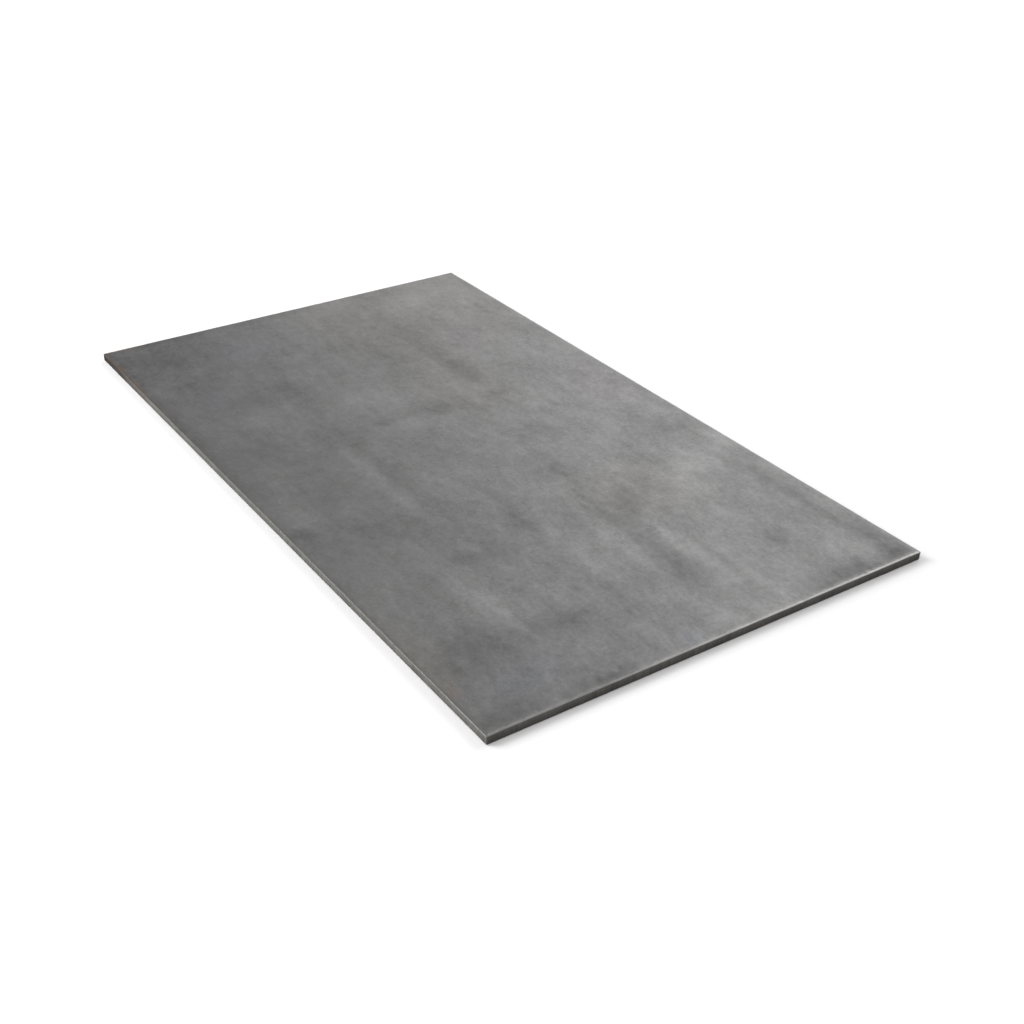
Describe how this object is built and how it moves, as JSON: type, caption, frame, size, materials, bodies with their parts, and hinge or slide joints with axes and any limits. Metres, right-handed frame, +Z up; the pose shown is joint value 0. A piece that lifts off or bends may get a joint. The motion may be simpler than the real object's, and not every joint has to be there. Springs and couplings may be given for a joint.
{
  "type": "steel plate",
  "caption": "Flat rectangular hot-rolled steel plate with mill scale, square cut edges and a softened top arris, for use as base plate, cover, tread or cutting stock.",
  "frame": {"origin": "middle of the underside, on the surface that the plate lies on", "axes": "+X along the length, +Y across the width, +Z up through the thickness, out of the top face"},
  "size_m": [1, 0.6, 0.01],
  "materials": {
    "mill_scale_steel": "satin"
  },
  "bodies": {
    "root": {"plate": "mill_scale_steel"}
  },
  "joints": []
}
